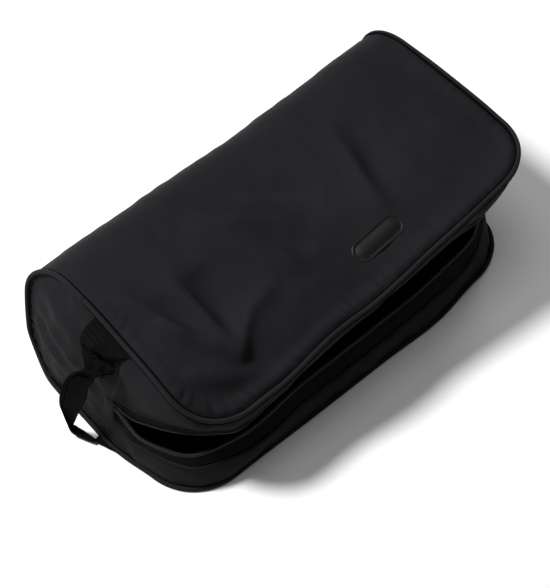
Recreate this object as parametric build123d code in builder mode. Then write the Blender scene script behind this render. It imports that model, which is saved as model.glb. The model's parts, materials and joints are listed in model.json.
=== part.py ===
from build123d import *

import os
from math import cos, radians, sin

os.makedirs("parts", exist_ok=True)

# A soft zipped shoe bag lying on its bottom, with its mouth a little open.
# Origin: centre of the bottom panel, on the surface the bag lies on. X runs along the bag,
# -Y is the mouth side, +Z is up. Millimetres.

# ---- Overall size ----
bag_length = 366.0            # end face to end face
bag_depth = 195.0             # mouth side to rounded back
bag_height = 124.0            # bottom to top panel
front_corner_radius = 45.0    # the two front corners, seen from above
back_edge_radius = 40.0       # the two long back edges, seen from the end
cloth = 2.0                   # coated nylon with its turned edges

# ---- Lid: it folds about a line across the top, from one zip end to the other ----
gape_deg = 12.0               # how far the resting lid stands open
fold_gap = 0.5                # each side of the fold line
pass_gap = 0.3                # between pieces that slide past each other

# ---- Zip, at its heights on the closed bag ----
band_top = 40.0               # where the lower band ends and its zip tape starts
tape_width = 12.5             # cloth tape seen on each side of the teeth
teeth_width = 2.5             # one row of teeth
teeth_gap = 0.5               # between the two rows on the closed bag
zip_end_y = -12.0             # where the zip ends on both end faces

# ---- Piping and inside binding ----
piping_radius = 2.0
piping_inset = 3.5            # piping centre, in from the top, back and bottom faces
piping_clear = 0.05           # piping stands this far off the outer face
piping_end_y = 3.0            # piping stops this far from the fold line
binding_width = 8.0
binding_thickness = 1.2

# ---- Zip end tabs ----
tab_length = 14.0
tab_height = 18.0
tab_thickness = 1.5

# ---- Carrying handle: wide webbing, folded in half along the grip ----
webbing_width = 50.0
webbing_thickness = 2.2
grip_width = 25.0
grip_thickness = 4.0
grip_bulge = 24.0             # how far the grip stands out from its swing axis
grip_bend_radius = 11.0
grip_neck_width = 10.0
grip_neck_length = 12.0       # the neck widens to the full grip over this length
swing_standoff = 19.0         # upright line that the grip swings about, out from the end face
swing_y = 4.0
swing_rest_deg = 50.0         # resting grip, turned from straight out towards the back
upper_end_drop = 17.0         # top of the webbing sewn below the top piping
upper_end_height = 23.0
fan_thickness = 6.5           # bunched webbing between the sewn end and the grip
lower_end_thickness = 1.3
lower_end_boss = 6.0
boss_reach = 6.0              # webbing past the swing axis
grip_end_gap = 0.6

# ---- Badge: a plain domed plate held by two studs and a backing strip ----
badge_length = 52.0
badge_width = 20.0
badge_thickness = 2.6
badge_corner_radius = 9.0
badge_edge_round = 1.2
badge_x = 33.0
badge_setback = 36.5          # badge centre, back from the front edge
stud_radius = 1.2
stud_spacing = 30.0
stud_clearance = 0.15
backing_length = 38.0
backing_width = 8.0
backing_thickness = 1.2
stud_tail = 0.6

# ---- Zip slider, parked at the right zip end ----
slider_length = 10.0
slider_height = 12.0
slider_plate = 2.0
slider_clear = 0.6            # between each plate and the cloth of the zip
slider_sink = 3.0             # how far the plates reach below the teeth
slider_end_gap = 2.0          # between the slider and the zip end tab
slider_post = 2.0
slider_post_height = 3.0      # joins the two plates, just above the lower teeth
slider_travel = 16.0          # straight run ahead of the parked slider
bridge_radius = 0.9
bridge_standoff = 2.8         # bridge bar centre, out from the outer plate
bridge_foot = 1.5
pull_eye_radius = 2.2
pull_eye_clearance = 0.3
pull_eye_length = 5.0
pull_width = 6.0
pull_length = 30.0
pull_thickness = 1.6
pull_corner_radius = 2.0

# ---- Worked out from the sizes above ----
half_length = bag_length / 2
front_y = -bag_depth / 2
back_y = bag_depth / 2
under_top = bag_height - cloth
badge_y = front_y + badge_setback
swing_x = -half_length - swing_standoff
upper_end_top = bag_height - upper_end_drop
hinge_z = bag_height - cloth / 2
teeth_foot = band_top + tape_width
zip_level = teeth_foot + teeth_width
upper_teeth_foot = zip_level + teeth_gap
upper_tape_foot = upper_teeth_foot + teeth_width
upper_band_foot = upper_tape_foot + tape_width
tab_y = zip_end_y + tab_length / 4
slider_rear_y = tab_y - tab_length / 2 - slider_end_gap
far = 2 * bag_length          # longer than anything, for cutting tools
gape = radians(gape_deg)
lid_plane = Plane(origin=(0, 0, hinge_z), x_dir=(1, 0, 0), z_dir=(0, sin(gape), cos(gape)))


def closed_level(height):
    """The plane that is level at this height when the lid is closed."""
    return lid_plane.offset(height - hinge_z)


def plan(inset, rear_y):
    """The bag seen from above, drawn in by inset, from its front back to rear_y."""
    near_y = front_y + inset
    with BuildSketch(mode=Mode.PRIVATE) as outline:
        with Locations((0, (near_y + rear_y) / 2)):
            Rectangle(bag_length - 2 * inset, rear_y - near_y)
        fillet(outline.vertices().group_by(Axis.Y)[0], front_corner_radius - inset)
    return outline.sketch


def profile(inset, near_y):
    """The bag seen from its end, drawn in by inset, from near_y to its back."""
    far_y = back_y - inset
    with BuildSketch(mode=Mode.PRIVATE) as outline:
        with Locations(((near_y + far_y) / 2, bag_height / 2)):
            Rectangle(far_y - near_y, bag_height - 2 * inset)
        fillet(outline.vertices().group_by(Axis.X)[-1], back_edge_radius - inset)
    return outline.sketch


def front_wall(foot, height):
    """A wall that runs round the front from one zip end to the other, as thick as the cloth."""
    with BuildPart(mode=Mode.PRIVATE) as wall:
        with BuildSketch(Plane.XY.offset(foot)):
            add(plan(0, zip_end_y))
            add(plan(cloth, zip_end_y + cloth), mode=Mode.SUBTRACT)
        extrude(amount=height)
    return wall.part


def lid_wall(foot, head):
    """A wall under the lid's edge, between two levels of the closed bag. Its ends clear the
    end faces behind the fold line when the lid closes."""
    with BuildPart(mode=Mode.PRIVATE) as wall:
        with BuildSketch():
            add(plan(0, -fold_gap))
            add(plan(cloth, cloth), mode=Mode.SUBTRACT)
        extrude(amount=under_top)
        with BuildSketch(lid_plane.offset(-far / 2)):
            with Locations((0, far / 2 - fold_gap)):
                Rectangle(far, far)
        extrude(amount=far, mode=Mode.SUBTRACT)
        split(bisect_by=closed_level(foot), keep=Keep.TOP)
        if head is not None:
            split(bisect_by=closed_level(head), keep=Keep.BOTTOM)
    return wall.part


def clear_slider(piece):
    """Cuts a lid wall back over the slider's post, along the slider's whole run."""
    run_end_y = slider_rear_y - slider_length - slider_travel - slider_end_gap
    with BuildPart(mode=Mode.PRIVATE) as cut:
        add(piece)
        with BuildSketch(closed_level(zip_level)):
            with Locations((half_length, run_end_y)):
                Rectangle(front_corner_radius, bag_depth / 2, align=(Align.CENTER, Align.MIN))
        extrude(amount=teeth_gap + slider_post_height + slider_clear, mode=Mode.SUBTRACT)
    return cut.part


def save(builder, name):
    builder.part.label = name
    export_step(builder.part, f"parts/{name}.step")


# ================= Shell: bottom, back, rear half of the top, ends =================

with BuildPart() as main_panel:
    with BuildSketch(Plane.YZ):
        add(profile(0, front_y))
        add(profile(cloth, front_y - cloth), mode=Mode.SUBTRACT)
        with Locations((front_y, bag_height / 2)):
            Rectangle(bag_depth / 2 + fold_gap, bag_height, align=(Align.MIN, Align.MIN),
                      mode=Mode.SUBTRACT)
    extrude(amount=half_length, both=True)
    with BuildSketch():
        add(plan(0, back_y))
    extrude(amount=bag_height, mode=Mode.INTERSECT)
save(main_panel, "main_panel")

for side, name in ((-1, "left_end_panel"), (1, "right_end_panel")):
    with BuildPart() as end_panel:
        with BuildSketch(Plane.YZ.offset(side * half_length)):
            add(profile(cloth, fold_gap))
            with Locations((zip_end_y, cloth)):
                Rectangle(fold_gap - zip_end_y, zip_level - cloth, align=(Align.MIN, Align.MIN))
        extrude(amount=-side * cloth)
    save(end_panel, name)

for side, name in ((-1, "left_seam_binding"), (1, "right_seam_binding")):
    with BuildPart() as end_binding:
        with BuildSketch(Plane.YZ.offset(side * (half_length - cloth))):
            add(profile(cloth, zip_end_y))
            add(profile(cloth + binding_width, zip_end_y - cloth), mode=Mode.SUBTRACT)
            with Locations((zip_end_y, bag_height / 2)):
                Rectangle(fold_gap - zip_end_y, bag_height, align=(Align.MIN, Align.MIN),
                          mode=Mode.SUBTRACT)
        extrude(amount=-side * binding_thickness)
    save(end_binding, name)

with BuildPart() as front_seam_binding:
    with BuildSketch(Plane.XY.offset(cloth)):
        add(plan(cloth, zip_end_y))
        add(plan(cloth + binding_width, zip_end_y + cloth), mode=Mode.SUBTRACT)
    extrude(amount=binding_thickness)
save(front_seam_binding, "front_seam_binding")

# ================= Lower half of the mouth =================

with BuildPart() as lower_band:
    add(front_wall(cloth, band_top - cloth))
save(lower_band, "lower_band")

with BuildPart() as lower_zipper_tape:
    add(front_wall(band_top, tape_width))
save(lower_zipper_tape, "lower_zipper_tape")

with BuildPart() as lower_zipper_teeth:
    add(front_wall(teeth_foot, teeth_width))
save(lower_zipper_teeth, "lower_zipper_teeth")

for side, name in ((-1, "left_zipper_tab"), (1, "right_zipper_tab")):
    with BuildPart() as zipper_tab:
        with BuildSketch(Plane.YZ.offset(side * half_length)):
            with Locations((tab_y, zip_level - tab_height / 2)):
                RectangleRounded(tab_length, tab_height, tab_thickness)
        extrude(amount=side * tab_thickness)
    save(zipper_tab, name)

# ================= Lid: front half of the top and its band =================

with BuildPart() as top_panel:
    with BuildSketch(Plane.XY.offset(under_top)):
        add(plan(0, -fold_gap))
        with Locations((badge_x, badge_y)):
            with GridLocations(stud_spacing, 0, 2, 1):
                Circle(stud_radius + stud_clearance, mode=Mode.SUBTRACT)
    extrude(amount=cloth)
save(top_panel, "top_panel")

with BuildPart() as upper_band:
    add(lid_wall(upper_band_foot, None))
save(upper_band, "upper_band")

with BuildPart() as upper_zipper_tape:
    add(clear_slider(lid_wall(upper_tape_foot, upper_band_foot)))
save(upper_zipper_tape, "upper_zipper_tape")

with BuildPart() as upper_zipper_teeth:
    add(clear_slider(lid_wall(upper_teeth_foot, upper_tape_foot)))
save(upper_zipper_teeth, "upper_zipper_teeth")

with BuildPart() as lid_seam_binding:
    with BuildSketch(Plane.XY.offset(under_top - binding_thickness)):
        add(plan(cloth, -piping_end_y))
        add(plan(cloth + binding_width, cloth), mode=Mode.SUBTRACT)
    extrude(amount=binding_thickness)
save(lid_seam_binding, "lid_seam_binding")

# ================= Piping =================

piping_x = half_length + piping_radius + piping_clear
piping_front_y = front_y - piping_radius - piping_clear
piping_back_y = back_y - piping_inset
piping_top_z = bag_height - piping_inset
piping_corner = front_corner_radius + piping_radius + piping_clear
piping_bend = back_edge_radius - piping_inset

with BuildPart() as lid_piping:
    with BuildLine():
        FilletPolyline(
            (-piping_x, -piping_end_y, piping_top_z),
            (-piping_x, piping_front_y, piping_top_z),
            (piping_x, piping_front_y, piping_top_z),
            (piping_x, -piping_end_y, piping_top_z),
            radius=piping_corner,
        )
    with BuildSketch(Plane(origin=(-piping_x, -piping_end_y, piping_top_z), z_dir=(0, -1, 0))):
        Circle(piping_radius)
    sweep()
save(lid_piping, "lid_piping")

# One length: down round each rounded back end and along the bottom, past both front corners.
with BuildPart() as shell_piping:
    with BuildLine():
        FilletPolyline(
            (-piping_x, piping_end_y, piping_top_z),
            (-piping_x, piping_back_y, piping_top_z),
            (-piping_x, piping_back_y, piping_inset),
            (-piping_x, piping_front_y, piping_inset),
            (piping_x, piping_front_y, piping_inset),
            (piping_x, piping_back_y, piping_inset),
            (piping_x, piping_back_y, piping_top_z),
            (piping_x, piping_end_y, piping_top_z),
            radius=[piping_bend, piping_bend, piping_corner, piping_corner, piping_bend,
                    piping_bend],
        )
    with BuildSketch(Plane(origin=(-piping_x, piping_end_y, piping_top_z), z_dir=(0, 1, 0))):
        Circle(piping_radius)
    sweep()
save(shell_piping, "shell_piping")

# ================= Badge on the lid =================

with BuildPart() as badge_plate:
    with BuildSketch(Plane.XY.offset(bag_height)):
        with Locations((badge_x, badge_y)):
            RectangleRounded(badge_length, badge_width, badge_corner_radius)
    extrude(amount=badge_thickness)
    fillet(badge_plate.faces().sort_by(Axis.Z)[-1].edges(), badge_edge_round)
    with BuildSketch(Plane.XY.offset(bag_height)):
        with Locations((badge_x, badge_y)):
            with GridLocations(stud_spacing, 0, 2, 1):
                Circle(stud_radius)
    extrude(amount=-(cloth + backing_thickness + stud_tail))
save(badge_plate, "badge_plate")

with BuildPart() as badge_backing:
    with BuildSketch(Plane.XY.offset(under_top)):
        with Locations((badge_x, badge_y)):
            RectangleRounded(backing_length, backing_width, backing_width / 3)
            with GridLocations(stud_spacing, 0, 2, 1):
                Circle(stud_radius + stud_clearance, mode=Mode.SUBTRACT)
    extrude(amount=-backing_thickness)
save(badge_backing, "badge_backing")

# ================= Handle =================

end_x = -half_length
fan_foot = upper_end_top - fan_thickness
tip_x = swing_x - boss_reach


def webbing_fan():
    """Webbing seen from above, gathered from its sewn width to the neck of the grip."""
    with BuildSketch(mode=Mode.PRIVATE) as fan:
        with BuildLine():
            Polyline(
                (end_x, swing_y - webbing_width / 2),
                (tip_x, swing_y - grip_neck_width / 2),
                (tip_x, swing_y + grip_neck_width / 2),
                (end_x, swing_y + webbing_width / 2),
                close=True,
            )
        make_face()
    return fan.sketch


with BuildPart() as handle_upper_end:
    with BuildSketch(Plane.YZ.offset(end_x)):
        with Locations((swing_y, upper_end_top - upper_end_height / 2)):
            Rectangle(webbing_width, upper_end_height)
    extrude(amount=-webbing_thickness)
    with BuildSketch(Plane.XY.offset(fan_foot)):
        add(webbing_fan())
    extrude(amount=fan_thickness)
    with BuildSketch(Plane.YZ.offset(end_x)):
        with Locations((fold_gap, upper_end_top - upper_end_height / 2)):
            Rectangle(webbing_width, bag_height, align=(Align.MAX, Align.CENTER))
    extrude(amount=-pass_gap, mode=Mode.SUBTRACT)
save(handle_upper_end, "handle_upper_end")

with BuildPart() as handle_lower_end:
    with BuildSketch():
        add(webbing_fan())
    extrude(amount=lower_end_thickness)
    with BuildSketch():
        with Locations((tip_x, swing_y)):
            Rectangle(2 * boss_reach, grip_neck_width, align=(Align.MIN, Align.CENTER))
    extrude(amount=lower_end_boss)
save(handle_lower_end, "handle_lower_end")

swing = radians(swing_rest_deg)
grip_plane = Plane(
    origin=(swing_x, swing_y, 0), x_dir=(-cos(swing), sin(swing), 0), z_dir=(sin(swing), cos(swing), 0)
)
grip_top = fan_foot - grip_end_gap - grip_thickness / 2
grip_bottom = lower_end_boss + grip_end_gap + grip_thickness / 2
with BuildPart() as handle_grip:
    with BuildSketch(grip_plane):
        with BuildLine():
            FilletPolyline(
                (0, grip_top),
                (grip_bulge, grip_top - grip_bend_radius),
                (grip_bulge, grip_bottom + grip_bend_radius),
                (0, grip_bottom),
                radius=grip_bend_radius,
            )
        trace(line_width=grip_thickness)
    extrude(amount=grip_width / 2, both=True)
    with BuildSketch(Plane(origin=(swing_x, swing_y, 0), x_dir=grip_plane.x_dir, z_dir=(0, 0, 1))):
        with BuildLine():
            Polyline(
                (-boss_reach, -grip_neck_width / 2),
                (0, -grip_neck_width / 2),
                (grip_neck_length, -grip_width / 2),
                (2 * grip_bulge, -grip_width / 2),
                (2 * grip_bulge, grip_width / 2),
                (grip_neck_length, grip_width / 2),
                (0, grip_neck_width / 2),
                (-boss_reach, grip_neck_width / 2),
                close=True,
            )
        make_face()
    extrude(amount=bag_height, mode=Mode.INTERSECT)
save(handle_grip, "handle_grip")

# ================= Slider and its pull =================

slider_y = slider_rear_y - slider_length / 2
slider_foot = zip_level - slider_sink
slider_inner_x = half_length - cloth - slider_clear
slider_outer_x = half_length + slider_clear
bridge_x = slider_outer_x + slider_plate + bridge_standoff
bridge_z = zip_level

with BuildPart() as slider_body:
    with BuildSketch(Plane.YZ.offset(slider_inner_x)):
        with Locations((slider_y, slider_foot + slider_height / 2)):
            RectangleRounded(slider_length, slider_height, slider_plate)
    extrude(amount=-slider_plate)
    with BuildSketch(Plane.YZ.offset(slider_outer_x)):
        with Locations((slider_y, slider_foot + slider_height / 2)):
            RectangleRounded(slider_length, slider_height, slider_plate)
    extrude(amount=slider_plate)
    with BuildSketch(Plane.YZ.offset(slider_inner_x)):
        with Locations((slider_y + slider_length / 2 - slider_plate, zip_level + teeth_gap)):
            Rectangle(slider_post, slider_post_height, align=(Align.MAX, Align.MIN))
    extrude(amount=slider_outer_x - slider_inner_x)
    for foot_side in (-1, 1):
        with BuildSketch(Plane.YZ.offset(slider_outer_x + slider_plate)):
            with Locations((slider_y + foot_side * (slider_length - bridge_foot) / 2, bridge_z)):
                Rectangle(bridge_foot, 2 * bridge_radius)
        extrude(amount=bridge_standoff + bridge_radius)
    with BuildSketch(Plane.XZ.offset(-slider_y)):
        with Locations((bridge_x, bridge_z)):
            Circle(bridge_radius)
    extrude(amount=(slider_length - bridge_foot) / 2, both=True)
save(slider_body, "slider_body")

with BuildPart() as slider_pull:
    with BuildSketch(Plane.XZ.offset(-slider_y)):
        with Locations((bridge_x, bridge_z)):
            Circle(pull_eye_radius)
    extrude(amount=pull_eye_length / 2, both=True)
    with BuildSketch(Plane.YZ.offset(bridge_x - pull_thickness / 2)):
        with Locations((slider_y, bridge_z - pull_length / 2)):
            RectangleRounded(pull_width, pull_length, pull_corner_radius)
    extrude(amount=pull_thickness)
    with BuildSketch(Plane.XZ.offset(-slider_y)):
        with Locations((bridge_x, bridge_z)):
            Circle(bridge_radius + pull_eye_clearance)
    extrude(amount=slider_length, both=True, mode=Mode.SUBTRACT)
save(slider_pull, "slider_pull")
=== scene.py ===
import json
import math

import bpy
import numpy as np
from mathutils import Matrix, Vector


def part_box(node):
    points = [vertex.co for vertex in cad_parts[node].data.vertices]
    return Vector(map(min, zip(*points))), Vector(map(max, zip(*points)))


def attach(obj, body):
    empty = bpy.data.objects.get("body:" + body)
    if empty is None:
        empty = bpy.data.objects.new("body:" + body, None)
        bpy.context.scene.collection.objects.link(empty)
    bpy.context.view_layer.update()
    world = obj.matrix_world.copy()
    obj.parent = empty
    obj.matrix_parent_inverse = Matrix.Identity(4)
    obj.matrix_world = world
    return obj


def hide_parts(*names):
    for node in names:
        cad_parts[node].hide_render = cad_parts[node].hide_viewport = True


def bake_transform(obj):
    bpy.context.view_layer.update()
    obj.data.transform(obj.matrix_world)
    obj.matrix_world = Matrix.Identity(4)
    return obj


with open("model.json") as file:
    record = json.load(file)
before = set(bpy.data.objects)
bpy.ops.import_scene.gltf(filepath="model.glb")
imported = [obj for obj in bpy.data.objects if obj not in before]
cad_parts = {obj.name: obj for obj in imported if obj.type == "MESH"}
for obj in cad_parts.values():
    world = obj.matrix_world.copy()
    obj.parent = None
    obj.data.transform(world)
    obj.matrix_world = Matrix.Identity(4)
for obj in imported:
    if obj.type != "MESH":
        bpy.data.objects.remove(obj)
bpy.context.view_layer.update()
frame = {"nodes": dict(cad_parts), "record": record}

# The look of a soft zipped shoe bag that lies slumped with its mouth open. Shapes are worked out in
# millimetres in the frame's axes, and scaled to metres when a mesh is made. Every cloth piece starts
# as the regular bag of the CAD model, and slump() carries it to the sagged shape, so that the
# pieces still meet along their seams.

MM = 0.001


def cad_mm(node):
    low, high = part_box(node)
    return np.array(low) / MM, np.array(high) / MM


# ---- Sizes of the regular bag, from the frame ----
panel_low, panel_high = cad_mm("main_panel")
HALF, TOP = panel_high[0], panel_high[2]
FRONT, BACK = panel_low[1], panel_high[1]
ZIP = cad_mm("lower_zipper_teeth")[1][2]
ZIP_END = cad_mm("lower_zipper_teeth")[1][1]
joint_places = {j["name"]: np.array(j["pos_m"]) / MM for j in frame["record"]["behaviour"]["joints"]}
HINGE, SWING = joint_places["lid_fold"], joint_places["handle_swing"]
CORNER = 45.0                 # front corners, seen from above
BEND = 40.0                   # long back edges, seen from the end
REAR = BACK - BEND            # where the flat top ends
STEP = 3.0                    # usual mesh spacing
CLOTH = 0.9                   # nylon with its coating
TAPE = 12.5                   # zip tape
TEETH = 2.5                   # one row of coil
WEBBING_WIDE = 50.0           # the handle's webbing, flat
GRIP_WIDE = WEBBING_WIDE / 2  # folded in half along the grip


# ================= Small mathematics =================

def smooth(t):
    t = np.clip(t, 0, 1)
    return t * t * (3 - 2 * t)


def mix(a, b, t):
    """Part way from a to b."""
    return a + (b - a) * t


def curve(x, points):
    """A smooth line through (place, value) points, level beyond both ends."""
    xs, ys = np.array(points, float).T
    slopes = np.gradient(ys, xs)
    x = np.clip(np.asarray(x, float), xs[0], xs[-1])
    i = np.clip(np.searchsorted(xs, x) - 1, 0, len(xs) - 2)
    span = xs[i + 1] - xs[i]
    t = (x - xs[i]) / span
    return (ys[i] * (1 + 2 * t) * (1 - t) ** 2 + ys[i + 1] * t * t * (3 - 2 * t)
            + slopes[i] * span * t * (1 - t) ** 2 - slopes[i + 1] * span * t * t * (1 - t))


def line(s, places, points):
    """A smooth space curve through points, each at its own place along s."""
    points = np.array(points, float)
    return np.stack([curve(s, list(zip(places, points[:, k]))) for k in range(3)], -1)


def unit(v):
    return v / np.maximum(np.linalg.norm(v, axis=-1, keepdims=True), 1e-9)


def ripples(count, short, long_, seed):
    """Sum of seeded plane waves, about 1 high: soft crumples that repeat on every run."""
    waves = np.random.default_rng(seed)
    angle = waves.uniform(0, math.pi, count)
    length = waves.uniform(short, long_, count)
    phase = waves.uniform(0, 2 * math.pi, count)

    def height(a, b):
        total = 0
        for turn, size, start in zip(angle, length, phase):
            total = total + np.sin(2 * math.pi * (a * math.cos(turn) + b * math.sin(turn)) / size + start)
        return total / math.sqrt(count)

    return height


# ================= The slump =================

# Heights of the top's four edges, (place along the edge, height)
LEFT_EDGE = [(-97.5, 85.5), (-84, 90.5), (-72, 97.5), (-58, 106.5), (-44, 112), (-26, 117.5), (-3, 122),
             (18, 127.5), (41, 131), (57.5, 132)]
FRONT_EDGE = [(-183, 85.5), (-150, 87.5), (-124, 88), (-104, 87.5), (-88, 91), (-69, 97.5), (-52, 101.5),
              (-36, 102), (-8, 100), (23, 104.5), (55, 112), (88, 117.5), (121, 124), (150, 131), (183, 133)]
BACK_EDGE = [(-183, 131), (-130, 130), (-67, 128), (0, 127), (60, 128), (110, 132), (150, 135), (183, 136)]
RIGHT_EDGE = [(-97.5, 133), (-56, 131), (-30, 133.5), (4, 135), (57.5, 136)]

# Folds of the top cloth: two ends in plan, half width, height and how sharp the crest is
FOLDS = [
    ((-170, 42), (-143, -30), 9, 5.0, 0.6),
    ((-153, -8), (-116, -66), 9, 6.2, 0.6),
    ((-172, 24), (-160, -40), 5, 1.8, 0.5),
    ((-122, 20), (-118, -64), 7, 4.6, 0.6),
    ((-122, -66), (-84, -36), 7, 5.4, 0.6),
    ((-92, -42), (-56, -38), 8, 3.2, 0.3),
    ((-104, 8), (-104, -44), 14, -5.5, 0),
    ((-140, 8), (-130, -44), 9, -3.0, 0),
    ((-92, 50), (-4, -6), 15, 4.6, 0.2),
    ((-66, 66), (22, 2), 17, -6.0, 0),
    ((-84, 36), (-32, -44), 12, 4.2, 0.3),
    ((-44, 20), (-14, -34), 9, -4.0, 0),
    ((76, 44), (51, -54), 9, 4.8, 0.5),
    ((88, 30), (70, -40), 14, -3.4, 0),
    ((-162, -52), (-114, -86), 8, 4.6, 0.3),
    ((110, 60), (160, -10), 20, 2.4, 0),
]
soft_lumps = ripples(9, 55, 130, 3)
fine_lumps = ripples(12, 14, 34, 5)
edge_puckers = ripples(7, 7, 15, 8)


def pucker_row(s):
    """Short gathers along a sewn edge, told apart by their distance along it."""
    waves = np.random.default_rng(17)
    total = 0
    for size in waves.uniform(6, 15, 7):
        total = total + np.sin(2 * math.pi * s / size + waves.uniform(0, 6.3))
    return np.maximum(total / 2.2, 0) ** 1.4


def fold(x, y, start, end, width, height, sharp):
    """One crease or dent that fades out at its ends: round, or with a sharp crest."""
    a, b = np.array(start, float), np.array(end, float)
    along = b - a
    t = ((x - a[0]) * along[0] + (y - a[1]) * along[1]) / (along @ along)
    off = np.abs((x - a[0]) * along[1] - (y - a[1]) * along[0]) / math.hypot(*along)
    taper = np.sin(math.pi * np.clip(t * 0.9 + 0.05, 0, 1)) ** 0.8
    past = np.maximum(np.maximum(-t, t - 1), 0) * math.hypot(*along)
    spread = np.hypot(off, past) / width
    crest = np.exp(-np.sqrt(spread ** 2 + 0.02) * 1.6)
    round_ = np.exp(-spread ** 2)
    return height * taper * mix(round_, crest, sharp)


def top_height(x, y):
    """Height of the sagged top cloth over the regular bag's plan."""
    y = np.minimum(y, REAR)
    u = (x + HALF) / (2 * HALF)
    v = (y - FRONT) / (REAR - FRONT)
    left, right = curve(y, LEFT_EDGE), curve(y, RIGHT_EDGE)
    front, back = curve(x, FRONT_EDGE), curve(x, BACK_EDGE)
    corners = ((1 - u) * (1 - v) * LEFT_EDGE[0][1] + u * (1 - v) * RIGHT_EDGE[0][1]
               + (1 - u) * v * LEFT_EDGE[-1][1] + u * v * RIGHT_EDGE[-1][1])
    return (1 - u) * left + u * right + (1 - v) * front + v * back - corners


def half_width(y):
    """Half of the regular top's width at y, narrowed by the front corners."""
    into = np.clip(FRONT + CORNER - y, 0, CORNER)
    return HALF - CORNER + np.sqrt(CORNER ** 2 - into ** 2)


def inside_edge(x, y):
    """How far a plan point is inside the top's sewn edge, not counting the open back."""
    corner = np.hypot(np.maximum(np.abs(x) - HALF + CORNER, 0), np.maximum(FRONT + CORNER - y, 0))
    rounded = CORNER - corner
    return np.where((np.abs(x) > HALF - CORNER) & (y < FRONT + CORNER), rounded,
                    np.minimum(HALF - np.abs(x), y - FRONT))


def edge_run(x, y):
    """Distance along the top's sewn edge, from the middle of the front."""
    ax = np.maximum(np.abs(x) - HALF + CORNER, 0)
    ay = np.maximum(FRONT + CORNER - y, 0)
    return np.sign(x) * (np.minimum(np.abs(x), HALF - CORNER) + CORNER * np.arctan2(ax, ay)
                         + np.maximum(y - FRONT - CORNER, 0) * (ax > 0))


def slump(x, y, z):
    """Carries a point of the regular bag to the sagged bag."""
    x, y, z = np.broadcast_arrays(np.asarray(x, float), np.asarray(y, float), np.asarray(z, float))
    t = z / TOP
    u = (x + HALF) / (2 * HALF)
    foot = curve(y, [(-97, -3), (-52, -6), (-24, -11.5), (-7, -13.5), (13, -13), (33, -12.5), (59, -13), (75, -12),
                     (97, -7)])
    left = 15 * np.maximum(t, 0) ** 3.5 + foot * np.clip(1 - t, 0, 1) ** 1.5
    waist = np.exp(-((z - 46) / 22) ** 2) * smooth((y + 80) / 30) * smooth((40 - y) / 40)
    right = 6 + 5 * t - 11 * waist - 1.5 * smooth((y - 20) / 60)
    dx = mix(left, right, u)
    hung = smooth((-30 - y) / 67)
    belly = curve(x, [(-183, 2), (-140, 3), (-60, 1), (20, -0.5), (88, -2), (128, 4), (155, 6), (183, 6)])
    dy = hung * mix(belly, 2.5, smooth(t))
    swell = curve(x, [(-183, 8), (-120, 9.5), (-60, 10.5), (30, 10), (80, 10), (137, 10.3), (183, 10.6)])
    dy = dy + swell * np.maximum(y / BACK, 0) ** 2 * mix(0.55, 1, smooth(z / 40))
    near_zip = np.exp(-((z - 52) / 25) ** 2 - ((y - ZIP_END) / 32) ** 2 - ((x + HALF) / 40) ** 2)
    dy = dy + 7 * near_zip
    lift = smooth((z - 42) / (TOP - 42))
    dz = (top_height(x, y) - TOP) * lift - 3.5 * near_zip
    return np.stack([x + dx, y + dy, z + dz], -1)


def top_relief(x, y):
    """Folds, lumps and seam puckers of the top cloth, upwards."""
    inner = inside_edge(x, y)
    free = smooth(inner / 26) * (1 - 0.75 * smooth((y - 55) / 30))
    total = 0.8 * soft_lumps(x, y) + 0.25 * fine_lumps(x, y)
    for shape in FOLDS:
        total = total + fold(x, y, *shape)
    run = edge_run(x, y)
    strength = 0.7 + 1.9 * np.exp(-((run - 38) / 50) ** 2) + 1.2 * np.exp(-((run + 170) / 40) ** 2)
    pucker = -strength * pucker_row(run + 0.35 * inner) * np.exp(-((inner - 7) / 7) ** 2) * smooth(inner / 4)
    roll = 2.2 * np.exp(-((inner - 6.5) / 6) ** 2) - 2.2 * np.exp(-(inner / 3.0) ** 2)
    return 1.35 * total * free + pucker + roll * smooth((60 - y) / 40)


# ================= Mesh makers =================

def new_object(name, vertices, faces, material, uvs=None):
    mesh = bpy.data.meshes.new(name)
    mesh.from_pydata((np.asarray(vertices) * MM).tolist(), [], faces)
    if uvs is not None:
        layer = mesh.uv_layers.new(name="weave")
        corner_vertex = np.zeros(len(mesh.loops), int)
        mesh.loops.foreach_get("vertex_index", corner_vertex)
        layer.data.foreach_set("uv", (np.asarray(uvs) * MM)[corner_vertex].ravel())
    mesh.materials.append(material)
    mesh.polygons.foreach_set("use_smooth", [True] * len(mesh.polygons))
    mesh.update()
    thing = bpy.data.objects.new(name, mesh)
    bpy.context.collection.objects.link(thing)
    return thing


def normals(grid):
    """Unit normals of a rows x columns x 3 grid."""
    down = np.gradient(grid, axis=0)
    across = np.gradient(grid, axis=1)
    return unit(np.cross(across, down))


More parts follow.
